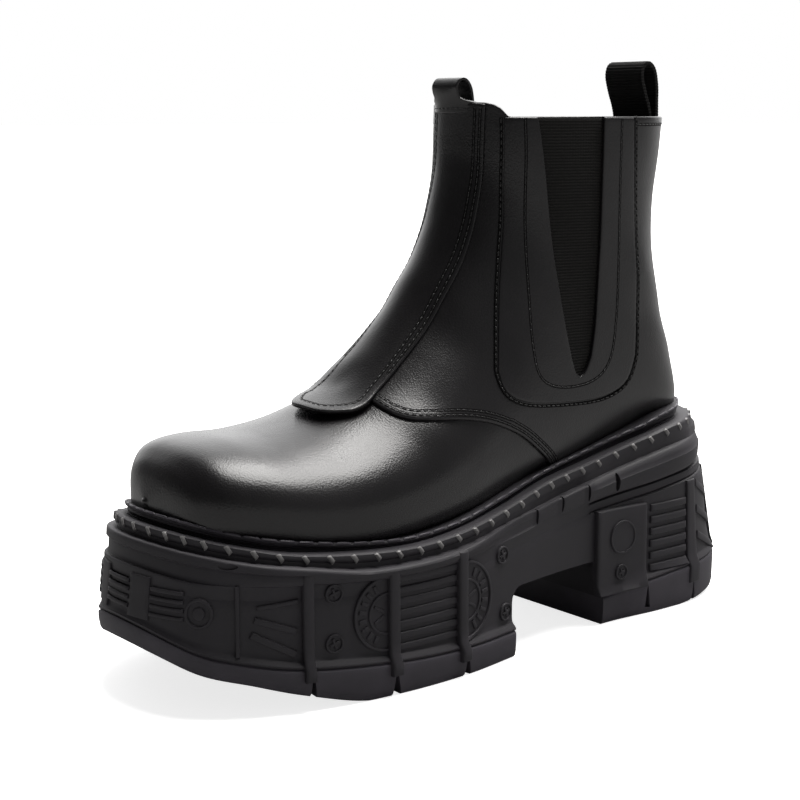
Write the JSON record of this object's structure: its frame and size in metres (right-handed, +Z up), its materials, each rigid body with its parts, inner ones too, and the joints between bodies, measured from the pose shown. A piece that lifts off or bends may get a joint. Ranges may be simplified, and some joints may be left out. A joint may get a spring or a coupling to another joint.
{
  "type": "platform ankle boot",
  "caption": "Black leather pull-on ankle boot with elastic side panels, pull loops at front and back, and a tall chunky moulded platform sole with a lugged tread.",
  "frame": {"origin": "on the floor under the middle of the boot's bounding box", "axes": "+Z up, toe towards -Y, heel towards +Y, outer side of this left boot towards +X"},
  "size_m": [0.1127, 0.292, 0.233],
  "materials": {
    "upper_leather": "smooth black box leather, semi-gloss",
    "elastic": "fine ribbed elastic, matt",
    "webbing": "woven grosgrain, matt",
    "insole_cloth": "black lining, matt",
    "sole_rubber": "moulded, matt to satin"
  },
  "bodies": {
    "root": {"upper": "upper_leather", "gore_lateral": "elastic", "gore_medial": "elastic", "front_strip": "upper_leather", "backstay": "upper_leather", "front_loop": "upper_leather", "back_loop": "webbing", "insole": "insole_cloth", "welt": "sole_rubber", "midsole": "sole_rubber", "forefoot_outsole": "sole_rubber", "heel_outsole": "sole_rubber"}
  },
  "joints": []
}
